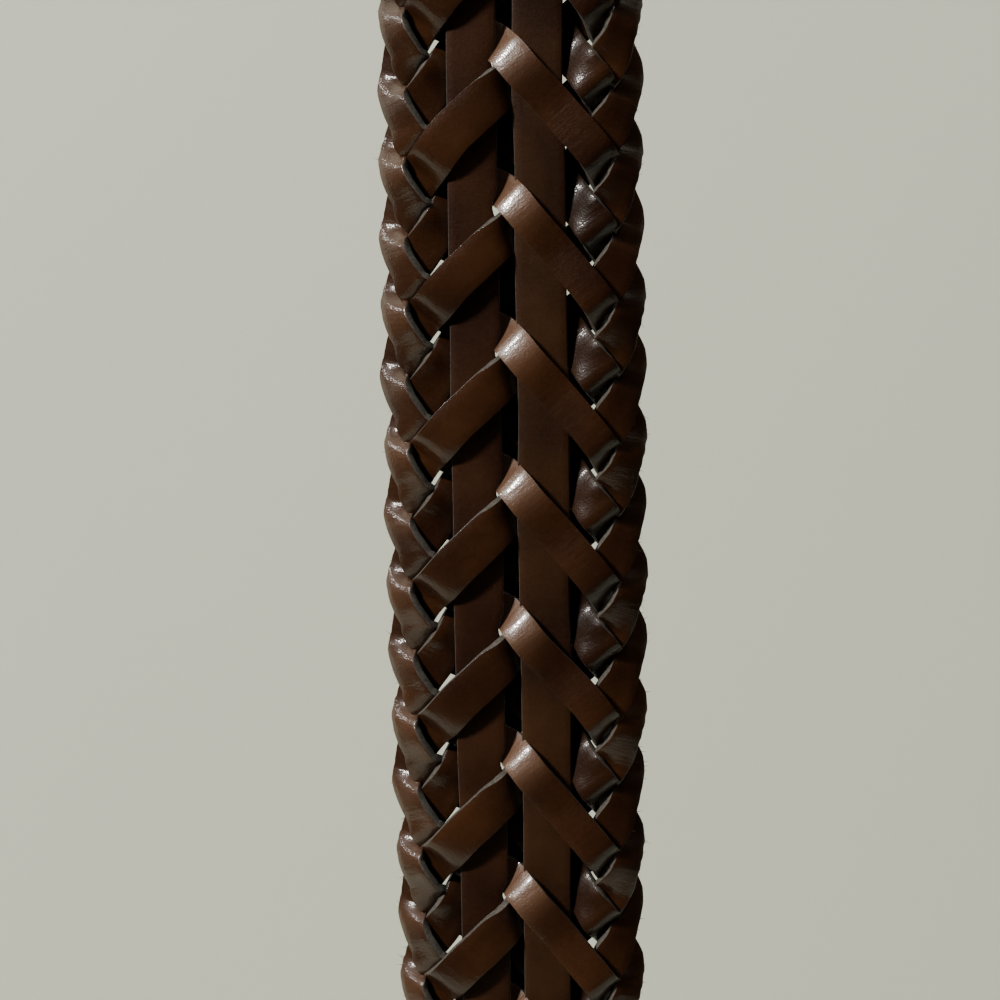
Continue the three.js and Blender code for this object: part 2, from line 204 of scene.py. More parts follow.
def curved(rows):
    """Even stations along one zigzag: its places, side vectors, which fall to the right, and their step."""
    count = len(rows)
    wrapped = np.vstack([rows - [0, ZIGZAG], rows, rows + [0, ZIGZAG]])
    fine = []
    for i in range(count, 2 * count):
        a, b, c, d = wrapped[i - 1 : i + 3]
        for t in np.linspace(0, 1, CURVE_PARTS, endpoint=False):
            fine.append((*through(a, b, c, d, t), i - count + t < TURN_AT))
    fine = np.array(fine)
    closed = np.vstack([fine[:, :2], fine[0, :2] + [0, ZIGZAG]])
    length = np.concatenate([[0], np.cumsum(np.linalg.norm(np.diff(closed, axis=0), axis=1))])
    wanted = np.linspace(0, length[-1], STATIONS, endpoint=False)
    place = np.stack([np.interp(wanted, length, closed[:, k]) for k in (0, 1)], axis=1)
    before = np.vstack([place[-2:] - [0, ZIGZAG], place[:-2]])
    after = np.vstack([place[2:], place[:2] + [0, ZIGZAG]])
    run = (after - before) / np.linalg.norm(after - before, axis=1)[:, None]
    side = np.stack([-run[:, 1], run[:, 0]], axis=1)
    falls = np.interp(wanted, length[:-1], fine[:, 2]) > 0.5
    return place, side, falls, length[-1] / STATIONS


ROWS = np.array(RUN_DOWN_RIGHT + RUN_DOWN_LEFT)
CURVES = [curved(ROWS[:, :2]), curved(ROWS[:, 2:])]


def half_widths():
    """Half the width of both kinds of lace: narrower where they run taut over a strap or round an edge."""
    widths = []
    for kind in (0, 1):
        down = CURVES[kind][0][:, 1]
        loose = np.ones(STATIONS)
        for middle, reach in TAUT_PLACES[kind]:
            away = np.abs((down - middle + ZIGZAG / 2) % ZIGZAG - ZIGZAG / 2)
            loose = np.minimum(loose, np.clip((away - reach) / TAUT_EASE, 0, 1))
        widths.append(LACE_WIDTH / 2 * (1 + (LACE_BROADER - 1) * smooth(loose)))
    return np.array(widths)


HALF_WIDTH = half_widths()


def meetings(share):
    """Where a lane of a lace lies over or under another lace: columns of indices, offsets and order."""
    found = []
    for kind in (0, 1):
        place, side, falls, _ = CURVES[kind]
        half = LACE_WIDTH / 2 * share[kind]
        for later in range(1 - LACE_COUNT, LACE_COUNT):
            if later == 0:
                continue
            other = (kind + later) % 2
            place_2, side_2, falls_2, step_2 = CURVES[other]
            half_2 = LACE_WIDTH / 2 * share[other]
            for turn in (-1, 0, 1):
                drop = later * PITCH + turn * ZIGZAG
                if abs(drop) >= ZIGZAG:
                    continue
                for lane in LANES:
                    mine = place + side * (lane * half)[:, None]
                    gap = mine[:, None, :] - (place_2 + [0, drop])[None, :, :]
                    square = (gap**2).sum(axis=2)
                    near = square.argmin(axis=1)
                    rows = np.arange(STATIONS)
                    offset = (gap[rows, near] * side_2[near]).sum(axis=1)
                    along = square[rows, near] - offset**2
                    hit = (np.abs(offset) <= half_2[near]) & (along < (MEETING_REACH * step_2) ** 2)
                    for i in rows[hit]:
                        j = near[i]
                        if falls[i] and not falls_2[j]:
                            front = IN_FRONT[later % LACE_COUNT][kind]
                        elif not falls[i] and falls_2[j]:
                            front = not IN_FRONT[-later % LACE_COUNT][other]
                        else:
                            front = drop > 0
                        found.append((kind, i, lane * half[i], other, j, offset[i], 1.0 if front else -1.0))
    table = np.array(found).T
    kind, i, other, j = table[[0, 1, 3, 4]].astype(int)
    return kind, i, table[2], other, j, table[5], table[6]


def fold_station():
    """The station, with its fraction, at which a surfacing lace folds up between the straps."""
    place, _, falls, _ = CURVES[0]
    first = np.flatnonzero(falls & (place[:, 0] < FOLD_ACROSS)).max()
    part = (FOLD_ACROSS - place[first, 0]) / (place[first + 1, 0] - place[first, 0])
    return first + part


def fold_shape(stations):
    """The fold's height and how firmly it holds a surfacing lace, at stations along it."""
    away = (stations - fold_station()) * CURVES[0][3]
    t = np.clip(away / FOLD_REACH, -1, 1)
    height = FOLD_LEVEL * t * (3 - t**2) / 2
    hold = np.clip(FOLD_FIRMNESS - FOLD_FIRMNESS * np.abs(away) / FOLD_HOLD, 0, 1)
    return height, smooth(hold)


def fold_bulge(stations):
    """How much a surfacing lace stands off the right strap after its fold."""
    away = (stations - fold_station()) * CURVES[0][3] - BULGE_START
    rise = np.clip(away / (BULGE_PEAK - BULGE_START), 0, 1)
    fall = np.clip((BULGE_END - away) / (BULGE_END - BULGE_PEAK), 0, 1)
    return FOLD_BULGE * np.sin(rise * math.pi / 2) * smooth(fall)


def strap_rise(across, strap, spare):
    """Least distance of a lace's middle from the straps' middle plane over one strap, or -1 beside it."""
    low, high = strap
    if low < 0:
        high -= spare
    else:
        low += spare
    reach = LACE_THICKNESS / 2 + TOUCH + STRAP_CORNER
    beyond = np.maximum(np.abs(across - (low + high) / 2) - (high - low) / 2 + STRAP_CORNER, 0)
    rise = STRAP_THICKNESS / 2 - STRAP_CORNER + np.sqrt(np.maximum(reach**2 - beyond**2, 0))
    return np.where(beyond < reach, rise, -1.0)


def smoothed(values, stiff):
    """Values eased towards an even curve along each lace."""
    near = (np.roll(values, 1, axis=1) + np.roll(values, -1, axis=1)) / 2
    far = (np.roll(values, 2, axis=1) + np.roll(values, -2, axis=1)) / 2
    return values + stiff * ((4 * near - far) / 3 - values) + TENSION * (near - values)


def wanted_lean():
    """The slope that both kinds of lace lean to at the belt's edges, and how firmly they are held to it."""
    lean = np.zeros((2, STATIONS))
    hold = np.zeros((2, STATIONS))
    for kind in (0, 1):
        down = CURVES[kind][0][:, 1]
        to_left = np.minimum(np.abs(down - LEAN_LEFT_PLACE), np.abs(ZIGZAG + LEAN_LEFT_PLACE - down))
        near_left = np.exp(-((to_left / LEAN_REACH) ** 2))
        near_right = np.exp(-(((down - LEAN_RIGHT_PLACE) / LEAN_REACH) ** 2))
        lean[kind] = LEAN_LEFT * near_left + LEAN_RIGHT * near_right
        hold[kind] = LEAN_EASE + LEAN_HOLD * (near_left + near_right)
    return lean, hold


def push_from_straps(kind, height, slope, half, fold_hold):
    """How far the straps push each station of a lace, and twist it, and how many of its lanes they touch."""
    place, side, falls, _ = CURVES[kind]
    stiffness = (half**2 / 2).clip(0.5)
    push, twist, count = (np.zeros(STATIONS) for _ in range(3))
    for lane in LANES:
        offset = lane * half
        across = place[:, 0] + side[:, 0] * offset
        here = height + slope * offset
        for strap in (STRAP_LEFT, STRAP_RIGHT):
            over = np.zeros(STATIONS, dtype=bool)
            if kind == 0:
                over = falls == (strap[0] > 0)
            rise = strap_rise(across, strap, STRAP_SPARE[kind])
            below = np.maximum(rise - here, 0)
            above = np.maximum(here + rise, 0)
            lack = np.where(over, below, -above) * (rise > 0)
            if kind == 0:
                lack = lack * (fold_hold < FOLD_FREE)
            part = lack / (1 + offset**2 / stiffness)
            push += part
            twist += part * offset / stiffness
            count += lack != 0
    return push, twist, count


def relax():
    """Middle height, sideways slope and share of the width for both kinds of lace at every station."""
    height = np.full((2, STATIONS), START_HEIGHT)
    slope = np.zeros((2, STATIONS))
    climb = np.zeros((2, STATIONS))
    lean, hold = wanted_lean()
    fold_height, fold_hold = fold_shape(np.arange(STATIONS))
    for round_ in range(ROUNDS):
        if round_ % MEETINGS_EVERY == 0:
            share = 1 / np.sqrt(1 + slope**2)
            share = (share + np.roll(share, 3, axis=1) + np.roll(share, -3, axis=1)) / 3
            half = LACE_WIDTH / 2 * share
            stiffness = (half**2 / 2).clip(0.5)
            kind, i, x, other, j, y, sign = meetings(share)
        height = smoothed(height, STIFF_RISE)
        slope = smoothed(smoothed(slope, STIFF_LEAN), STIFF_LEAN)
        slope += hold * (lean - slope)
        for k in (0, 1):
            climb[k] = (np.roll(height[k], -1) - np.roll(height[k], 1)) / (2 * CURVES[k][3])
        thick = LACE_THICKNESS * np.sqrt(1 + climb**2 + slope**2).clip(1, STEEPEST)
        push, twist, count = (np.zeros_like(height) for _ in range(3))
        apart = sign * (height[kind, i] + slope[kind, i] * x - height[other, j] - slope[other, j] * y)
        short = np.maximum((thick[kind, i] + thick[other, j]) / 2 + TOUCH - apart, 0)
        for which, at, where, way in ((kind, i, x, sign), (other, j, y, -sign)):
            part = short * way * 0.5 / (1 + where**2 / stiffness[which, at])
            np.add.at(push, (which, at), part)
            np.add.at(twist, (which, at), part * where / stiffness[which, at])
            np.add.at(count, (which, at), short > 0)
        for k in (0, 1):
            more = push_from_straps(k, height[k], slope[k], half[k], fold_hold)
            push[k] += more[0]
            twist[k] += more[1]
            count[k] += more[2]
        height += PUSH_OVER * push / np.maximum(count, 1)
        slope += PUSH_OVER * twist / np.maximum(count, 1)
        height[0] += fold_hold * (fold_height - height[0])
        slope[0] *= 1 - FOLD_FLATTENS * fold_hold
        height += PRESS_BACK * np.maximum(-PRESSED - (height - np.abs(slope) * half), 0)
    for _ in range(LAST_ROUNDS):
        height = smoothed(height, STIFF_AT_LAST)
        slope = smoothed(slope, STIFF_LEAN)
    return height, slope, share


def between(values, at):
    """Values of a closed run of stations at places between them, on smooth curves."""
    i = np.floor(at).astype(int)
    t = (at - i).reshape((-1,) + (1,) * (values.ndim - 1))
    a, b, c, d = (values[(i + k) % len(values)] for k in (-1, 0, 1, 2))
    return through(a, b, c, d, t)


def even_in_space(kind, height, slope, share):
    """One zigzag of a lace at stations that are evenly apart in space: rows of seven numbers."""
    place, side, _, _ = CURVES[kind]
    at = np.arange(0, STATIONS, 0.2)
    bare = place - np.outer(np.arange(STATIONS), [0, ZIGZAG / STATIONS])
    fine = between(bare, at) + np.outer(at, [0, ZIGZAG / STATIONS])
    across_side = between(side, at)
    across_side /= np.linalg.norm(across_side, axis=1)[:, None]
    high = between(height[kind], at)
    lean = between(slope[kind], at)
    if kind == 0:
        fold_height, fold_hold = fold_shape(at)
        high += fold_hold * (fold_height - high) + fold_bulge(at)
    half = between(HALF_WIDTH[kind] * share[kind], at)
    rows = np.column_stack([fine, across_side, high, lean, half])
    last = rows[:1] + [0, ZIGZAG, 0, 0, 0, 0, 0]
    rows = np.vstack([rows, last])
    hop = np.diff(rows[:, [0, 1, 4]], axis=0)
    length = np.concatenate([[0], np.cumsum(np.linalg.norm(hop, axis=1))])
    count = int(length[-1] / EVEN_STEP)
    wanted = np.linspace(0, length[-1], count, endpoint=False)
    even = np.column_stack([np.interp(wanted, length, rows[:, k]) for k in range(7)])
    return even, length[-1] / count


HEIGHT, SLOPE, SHARE = relax()
COURSES = [even_in_space(kind, HEIGHT, SLOPE, SHARE) for kind in (0, 1)]


def to_belt(across, down, height):
    """Metres in the object's own frame from the braid's millimetres, pulled in a little here and there."""
    pulled = 1 - PULL * np.sin(math.pi * (down - PULL_FROM) / PULL_LENGTH) ** 2
    to_end = np.clip(np.minimum(down, BRAID_LENGTH - down) / SQUEEZE_LENGTH, 0, 1)
    pulled = np.minimum(pulled, 1 - SQUEEZE * (1 + np.cos(math.pi * to_end)) / 2)
    x = (across * pulled + BRAID_SHIFT) * MM
    y = -(height + BRAID_FORWARD) * MM
    z = (BRAID_TOP - down) * MM
    return np.stack([x, y, z], axis=-1)


def wander(seed, size, reach, count):
    """A gentle seeded wandering, one value for each of count stations."""
    rng = np.random.default_rng(seed)
    knots = rng.normal(0, size, int(count / reach) + 4)
    at = np.arange(count) / reach
    i = at.astype(int)
    t = (1 - np.cos((at - i) * math.pi)) / 2
    return knots[i] * (1 - t) + knots[i + 1] * t


def shader_of(name, base, rough):
    made = bpy.data.materials.new(name)
    made.use_nodes = True
    tree = made.node_tree
    shader = tree.nodes["Principled BSDF"]
    shader.inputs["Base Color"].default_value = (*base, 1)
    shader.inputs["Roughness"].default_value = rough
    return made, tree, shader


def noise(tree, vector, scale, detail=3.0, rough=0.5):
    node = tree.nodes.new("ShaderNodeTexNoise")
    node.inputs["Scale"].default_value = scale
    node.inputs["Detail"].default_value = detail
    node.inputs["Roughness"].default_value = rough
    tree.links.new(vector, node.inputs["Vector"])
    return node.outputs["Fac"]


def colours(tree, factor, stops):
    node = tree.nodes.new("ShaderNodeValToRGB")
    ramp = node.color_ramp
    while len(ramp.elements) < len(stops):
        ramp.elements.new(0.5)
    for element, (position, colour) in zip(ramp.elements, stops):
        element.position = position
        element.color = (*colour, 1)
    tree.links.new(factor, node.inputs["Fac"])
    return node.outputs["Color"]


def bump(tree, height, strength, distance, under=None):
    node = tree.nodes.new("ShaderNodeBump")
    node.inputs["Strength"].default_value = strength
    node.inputs["Distance"].default_value = distance
    tree.links.new(height, node.inputs["Height"])
    if under is not None:
        tree.links.new(under, node.inputs["Normal"])
    return node.outputs["Normal"]


def times_plus(tree, value, factor, more, clamped=True):
    """The value times a factor, which may be a socket, plus a number or a socket."""
    node = tree.nodes.new("ShaderNodeMath")
    node.operation = "MULTIPLY_ADD"
    node.use_clamp = clamped
    tree.links.new(value, node.inputs[0])
    for entry, given in ((1, factor), (2, more)):
        if isinstance(given, bpy.types.NodeSocket):
            tree.links.new(given, node.inputs[entry])
        else:
            node.inputs[entry].default_value = given
    return node.outputs["Value"]


def spread(tree, value, taken, given):
    """The value drawn from one range to another."""
    node = tree.nodes.new("ShaderNodeMapRange")
    for end, number in zip(("From Min", "From Max", "To Min", "To Max"), taken + given):
        node.inputs[end].default_value = number
    tree.links.new(value, node.inputs["Value"])
    return node.outputs["Result"]


def stretched(tree, vector, scale):
    node = tree.nodes.new("ShaderNodeMapping")
    node.inputs["Scale"].default_value = scale
    tree.links.new(vector, node.inputs["Vector"])
    return node.outputs["Vector"]


# Leather: its shine where it is plain, what rubbing adds as polish and as painted highlight, the painted
# shade of dulled places, its marks' sizes and depths in metres
# Painted highlight: a lighter brown mixed into the dye where a lace is rubbed, standing in for the sheen of
# the light on its fold and bends
PAINTED_HIGHLIGHT_DYE = (0.11, 0.052, 0.026)
PAINTED_HIGHLIGHT_SHARE = 0.7
# Painted shade: a near black mixed into the dye where a hidden lace lies in shade beside the right strap
PAINTED_SHADE_DYE = (0.009, 0.0042, 0.002)
PAINTED_SHADE_SHARE = -2.0
PLAIN_SHINE = 0.16
RUBBED_SHINE = 0.8
RUBBED_POLISH = 0.7
POLISH_ROUGHNESS = 0.13
PATCH_SCALE = 75
SPECKLE_SCALE = 1900
SPECKLE_SHARE = 0.22
PORE_SCALE = 3600
PORE_DEPTH = 0.00007
CREASE_SCALE = (1250, 160, 1)
CREASE_DEPTH = 0.00025
WAVE_DEPTH = 0.0012


def tinted(tree, under, over, share):
    """A colour with another one mixed in by a share."""
    node = tree.nodes.new("ShaderNodeMix")
    node.data_type = "RGBA"
    tree.links.new(share, node.inputs["Factor"])
    tree.links.new(under, node.inputs["A"])
    node.inputs["B"].default_value = (*over, 1)
    return node.outputs["Result"]


def rubbing_and_painted_light(tree, shader, dye, polish):
    """The dye, and the shader's shine, changed by the lace's rubbing attribute: more shine and a painted
    highlight where it is positive, less polish and painted shade where it is negative.
    """
    attribute = tree.nodes.new("ShaderNodeAttribute")
    attribute.attribute_name = "polish_and_painted_light"
    polish_and_painted_light = attribute.outputs["Fac"]
    bright = times_plus(tree, polish_and_painted_light, 1.0, 0.0)
    squared = times_plus(tree, polish_and_painted_light, bright, 0.0, clamped=False)
    shine = times_plus(tree, squared, RUBBED_SHINE, PLAIN_SHINE)
    tree.links.new(shine, shader.inputs["Specular IOR Level"])
    tree.links.new(times_plus(tree, polish_and_painted_light, RUBBED_POLISH, polish), shader.inputs["Coat Weight"])
    # Painted shade: the near black mixed in where the attribute is below nothing
    painted_shade = tinted(tree, dye, PAINTED_SHADE_DYE, times_plus(tree, polish_and_painted_light, PAINTED_SHADE_SHARE, 0.0))
    # Painted highlight: the lighter brown mixed in where the attribute is positive
    return tinted(tree, painted_shade, PAINTED_HIGHLIGHT_DYE, times_plus(tree, polish_and_painted_light, PAINTED_HIGHLIGHT_SHARE, 0.0))


def grained_leather(name, dark, middle, light, gloss, crease, polish, rubs_with_painted_light=False):
    """Dyed leather: patchy colour, fine pores, and creases that run across the strip; where it rubs, polish
    with a painted highlight and painted shade mixed into the dye.
    """
    made, tree, shader = shader_of(name, middle, gloss)
    shader.inputs["Specular IOR Level"].default_value = PLAIN_SHINE
    shader.inputs["Coat Weight"].default_value = polish
    shader.inputs["Coat Roughness"].default_value = POLISH_ROUGHNESS
    place = tree.nodes.new("ShaderNodeTexCoord")
    broad = noise(tree, place.outputs["Object"], PATCH_SCALE, 3, 0.5)
    speckle = noise(tree, place.outputs["Object"], SPECKLE_SCALE, 4, 0.7)
    patches = times_plus(tree, speckle, SPECKLE_SHARE, broad, clamped=False)
    dye = colours(tree, patches, [(0.42, dark), (0.60, middle), (0.80, light)])
    # Rubbed polish, painted highlight and painted shade, read from the lace's attribute
    if rubs_with_painted_light:
        dye = rubbing_and_painted_light(tree, shader, dye, polish)
    tree.links.new(dye, shader.inputs["Base Color"])
    pores = tree.nodes.new("ShaderNodeTexVoronoi")
    pores.feature = "F1"
    pores.inputs["Scale"].default_value = PORE_SCALE
    tree.links.new(place.outputs["Object"], pores.inputs["Vector"])
    creases = noise(tree, stretched(tree, place.outputs["UV"], CREASE_SCALE), 1.0, 3, 0.6)
    fine = bump(tree, pores.outputs["Distance"], 0.3, PORE_DEPTH)
    folds = bump(tree, creases, crease, CREASE_DEPTH, fine)
    waves = bump(tree, broad, 0.35, WAVE_DEPTH, folds)
    for entry in ("Normal", "Coat Normal"):
        tree.links.new(waves, shader.inputs[entry])
    shine = spread(tree, speckle, (0.3, 0.7), (gloss - 0.05, gloss + 0.09))
    tree.links.new(shine, shader.inputs["Roughness"])
    return made


def raw_leather(name, dark, light, rough):
    """Undyed or half-dyed leather of a cut edge or of the flesh side, with short fibres."""
    made, tree, shader = shader_of(name, dark, rough)
    links = tree.links
    place = tree.nodes.new("ShaderNodeTexCoord")
    fibres = noise(tree, place.outputs["Object"], 2400, 4, 0.7)
    links.new(colours(tree, fibres, [(0.35, dark), (0.65, light)]), shader.inputs["Base Color"])
    links.new(bump(tree, fibres, 0.6, 0.0001), shader.inputs["Normal"])
    return made


LACE_GRAIN = grained_leather(
    "lace_grain",
    (0.016, 0.0052, 0.0021),
    (0.025, 0.0088, 0.0031),
    (0.040, 0.0145, 0.005),
    gloss=0.38,
    crease=0.30,
    polish=0.4,
    rubs_with_painted_light=True,
)
STRAP_GRAIN = grained_leather(
    "strap_grain", (0.015, 0.0054, 0.0021), (0.026, 0.0098, 0.0034), (0.038, 0.0155, 0.0052), 0.5, 0.14, 0.05
)
DARK_GRAIN = grained_leather(
    "dark_grain", (0.010, 0.0030, 0.001), (0.019, 0.0060, 0.002), (0.031, 0.011, 0.004), 0.48, 0.1, 0.1
)
CUT_EDGE = raw_leather("cut_edge", (0.022, 0.018, 0.013), (0.070, 0.062, 0.050), 0.8)
FLESH_SIDE = raw_leather("flesh_side", (0.008, 0.005, 0.003), (0.022, 0.014, 0.009), 0.9)


def grid_piece(name, rows, lanes):
    """A grid primitive with so many rows and lanes of points, and the row and lane of each point."""
    bpy.ops.mesh.primitive_grid_add(x_subdivisions=rows - 1, y_subdivisions=lanes - 1, size=1)
    piece = bpy.context.object
    piece.name = name
    mesh = piece.data
    mesh.name = name
    flat = np.empty(len(mesh.vertices) * 3)
    mesh.vertices.foreach_get("co", flat)
    flat = flat.reshape(-1, 3)
    row = np.rint((flat[:, 0] + 0.5) * (rows - 1)).astype(int)
    lane = np.rint((flat[:, 1] + 0.5) * (lanes - 1)).astype(int)
    return piece, mesh, row, lane


def grid_strip(name, points, along, across, closed=False, polish_and_painted_light=None):
    """A strip made from a grid primitive, its points set out in rows and lanes, in metres."""
    rows, lanes = points.shape[:2]
    piece, mesh, row, lane = grid_piece(name, rows, lanes)
    mesh.vertices.foreach_set("co", points[row, lane].ravel())
    corner = np.empty(len(mesh.loops), dtype=int)
    mesh.loops.foreach_get("vertex_index", corner)
    uv = np.stack([along[row[corner]], across[lane[corner]]], axis=1)
    mesh.uv_layers.active.data.foreach_set("uv", uv.ravel())
    if polish_and_painted_light is not None:
        # Per row: polish with painted highlight where positive, painted shade where negative
        mesh.attributes.new("polish_and_painted_light", "FLOAT", "POINT").data.foreach_set("value", polish_and_painted_light[row])
    mesh.update()
    if closed:
        bpy.ops.object.mode_set(mode="EDIT")
        bpy.ops.mesh.select_all(action="SELECT")
        bpy.ops.mesh.remove_doubles(threshold=0.00001)
        bpy.ops.object.mode_set(mode="OBJECT")
    piece.select_set(False)
    return piece


def finish_strip(piece, grain, thickness, corner, outward=None):
    """Thickness with rounded corners, and the finishes of its grain, flesh and cut edges."""
    mesh = piece.data
    facing = sum(p.normal.y for p in mesh.polygons)
    if outward is not None:
        facing = -sum(p.normal.dot(outward(p.center)) for p in mesh.polygons)
    if facing > 0:
        mesh.flip_normals()
    for each in (grain, FLESH_SIDE, CUT_EDGE):
        mesh.materials.append(each)
    bpy.context.view_layer.objects.active = piece
    piece.select_set(True)
    wall = piece.modifiers.new("wall", "SOLIDIFY")
    wall.thickness = thickness * MM
    wall.offset = 0
    wall.use_even_offset = True
    wall.material_offset = 1
    wall.material_offset_rim = 2
    bpy.ops.object.modifier_apply(modifier="wall")
    edges = piece.modifiers.new("edges", "BEVEL")
    edges.width = corner * MM
    edges.segments = 2
    edges.limit_method = "ANGLE"
    edges.angle_limit = math.radians(60)
    bpy.ops.object.modifier_apply(modifier="edges")
    bpy.ops.object.shade_smooth_by_angle(angle=math.radians(60))
    piece.select_set(False)


def belongs(piece, node):
    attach(piece, "root")
    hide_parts(node)


def lace_wander(kind, index, count):
    seed, size, reach = kind
    return wander(seed + index, size, reach, count)


def lace_course(index):
    """Centre places, side vectors, heights, slopes and half widths of one lace from end to end."""
    even, step = COURSES[index % 2]
    turns = range(-2, int(BRAID_LENGTH / ZIGZAG) + 2)
    rows = np.vstack([even + [0, t * ZIGZAG + index * PITCH, 0, 0, 0, 0, 0] for t in turns])
    rows = rows[(rows[:, 1] > LACE_END) & (rows[:, 1] < BRAID_LENGTH - LACE_END)]
    across, down, side = rows[:, 0], rows[:, 1], rows[:, 2:4]
    height, slope, half = rows[:, 4], rows[:, 5], rows[:, 6]
    count = len(rows)
    across = across + lace_wander(WANDER_ACROSS, index, count)
    down = down + lace_wander(WANDER_DOWN, index, count)
    half = half * (1 + lace_wander(WANDER_WIDTH, index, count))
    return across, down, side, height, slope, half, step


def rub(down, middle, reach, amount):
    return amount * np.exp(-(((down - middle) / reach) ** 2))


def rubbed_and_painted_light(index, down):
    """How much a lace is rubbed to a polish with a painted highlight: on its fold between the straps and on
    its left bends; on a hidden lace also painted shade, below nothing, where it shows right of the right
    strap.
    """
    place = (down - index * PITCH + ZIGZAG / 2) % ZIGZAG - ZIGZAG / 2
    polish_and_painted_light = rub(place, *RUBBED_PAINTED_HIGHLIGHT_BEND)
    if index % 2 == 0:
        fold = CURVES[0][0][int(fold_station()), 1]
        # Polish and painted highlight on the fold of a surfacing lace
        polish_and_painted_light += rub(place - fold, *RUBBED_PAINTED_HIGHLIGHT_FOLD)
    else:
        # A hidden lace gets painted shade and a duller polish where it shows right of the right strap
        polish_and_painted_light += rub(place, *DULLED_AND_SHADED_BACK)
    return polish_and_painted_light


def lace(index):
    across, down, side, height, slope, half, step = lace_course(index)
    x = LANES[None, :] * half[:, None]
    points = to_belt(
        across[:, None] + side[:, :1] * x,
        down[:, None] + side[:, 1:] * x,
        height[:, None] + slope[:, None] * x - LACE_CROWN * LANES[None, :] ** 2,
    )
    along = (np.arange(len(down)) * step + GRAIN_SHIFT * index) * MM
    widths = LANES * LACE_WIDTH / 2 * MM
    # the lace's rubbing attribute carries its painted highlight and painted shade
    piece = grid_strip("lace_strand_%d" % (index + 1), points, along, widths, polish_and_painted_light=rubbed_and_painted_light(index, down))
    finish_strip(piece, LACE_GRAIN, LACE_THICKNESS, LACE_ROUNDING)
    belongs(piece, "lace_%d" % (index + 1))


def fold_notches(down):
    """How far each place down the left strap is bitten by the corner of a lace that folds up there."""
    fold = between(CURVES[0][0], np.array([fold_station()]))[0]
    side = between(CURVES[0][1], np.array([fold_station()]))[0]
    corner = fold[1] + abs(side[1]) * LACE_WIDTH / 2
    apart = 2 * PITCH
    away = (down - corner + apart / 2) % apart - apart / 2
    return np.exp(-((away / NOTCH_REACH) ** 2))


def strap(name, node, edges, grain, slot, seed):
    """One of the two straight straps that the laces are woven round."""
    rows = STRAP_ROWS
    low, high = edges
    lanes = np.linspace(0, 1, STRAP_LANES)
    down = np.linspace(STRAP_END, BRAID_LENGTH - STRAP_END, rows)
    inner = lace_wander(STRAP_EDGE_WANDER, seed, rows)
    outer = lace_wander(STRAP_EDGE_WANDER, seed + 1, rows)
    if low < 0:
        inner -= FOLD_NOTCH * fold_notches(down)
    x = low + outer[:, None] + (high - low + inner - outer)[:, None] * lanes[None, :]
    bow = lace_wander(STRAP_FACE_WANDER, seed, rows)
    crown = -STRAP_CROWN * (lanes[None, :] - 0.5) ** 2 + bow[:, None]
    points = to_belt(x, np.repeat(down[:, None], STRAP_LANES, axis=1), crown)
    piece = grid_strip(name, points, down * MM, lanes * (high - low) * MM)
    finish_strip(piece, grain, STRAP_THICKNESS, STRAP_ROUNDING)
    belongs(piece, node)


def frayed_edges():
    """Short loose fibres that stand out from the laces' cut edges along both sides of the belt."""
    rng = np.random.default_rng(11)
    roots, tips = [], []
    for index in range(LACE_COUNT):
        across, down, side, height, slope, half, _ = lace_course(index)
        for edge, humps_from, chance in FIBRE_EDGES:
            lane = np.sign(side[:, 0]) * edge
            x = across + side[:, 0] * half * lane
            at_edge = edge * x > humps_from
            for i in np.flatnonzero(at_edge & (rng.random(len(x)) < chance)):
                offset = half[i] * lane[i]
                root = to_belt(x[i], down[i] + side[i, 1] * offset, height[i] + slope[i] * offset)
                out = np.array([edge, rng.normal(0, 0.5), rng.normal(0.1, 0.7)])
                length = rng.uniform(*FIBRE_LENGTH) * MM
                roots.append(root - FIBRE_ROOT * MM * out / np.linalg.norm(out))
                tips.append(root + length * out / np.linalg.norm(out))
    roots, tips = np.array(roots), np.array(tips)
    count = len(roots)
    run = (tips - roots) / np.linalg.norm(tips - roots, axis=1)[:, None]
    wide = np.cross(run, [0.0, 1.0, 0.0])
    wide /= np.linalg.norm(wide, axis=1)[:, None]
    deep = np.cross(run, wide)
    thick = FIBRE_THICKNESS * MM
    thirds = (0.0, 2.09, 4.19)
    corners = [roots + thick * (math.cos(a) * wide + math.sin(a) * deep) for a in thirds]
    points = np.stack(corners + [tips], axis=1).reshape(-1, 3)
    faces = np.array([[0, 1, 3], [1, 2, 3], [2, 0, 3], [0, 2, 1]])
    faces = (faces[None] + 4 * np.arange(count)[:, None, None]).reshape(-1, 3)
    mesh = bpy.data.meshes.new("frayed_edges")
    mesh.from_pydata(points.tolist(), [], faces.tolist())
    piece = bpy.data.objects.new("frayed_edges", mesh)
    bpy.context.scene.collection.objects.link(piece)
    mesh.materials.append(raw_leather("loose_fibre", (0.02, 0.010, 0.006), (0.06, 0.035, 0.02), 0.8))
    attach(piece, "root")


# Tabs, keeper and buckle, in millimetres
TAB_WIDTH = 35.0
TAB_WALL = 2.2
THIN_HALF = 1.15
POCKET_HALF = 5.3
BAR_Z = -32.0
BAR_RADIUS = 2.0
EYE_RADIUS = 3.15
TAB_MOUTH = -84.0
POCKET_FLOOR = -74.7
FLARE = 9.0
TAB_ROUNDING = 0.35
TIP_MOUTH = BRAID_TOP - BRAID_LENGTH + 9.0
TIP_END = TIP_MOUTH - 74.0
TIP_POCKET = 9.3
TIP_ROUND = 22.0
TIP_POINT = 1.15
TIP_BLUNTNESS = 2.3
OPENING_WIDTH = 38.0
FRAME_TOP = 5.0
FRAME_BAND = 5.0
FRAME_CORNER = 6.0
FRAME_FOOT = 2.4
FRAME_HALF_DEPTH = 2.0
BAR_END = 0.9
BAR_FACETS = 24
SLOT_HALF = 2.7
KEEPER_MIDDLE = BAR_Z - 17.0
KEEPER_WIDTH = 10.0
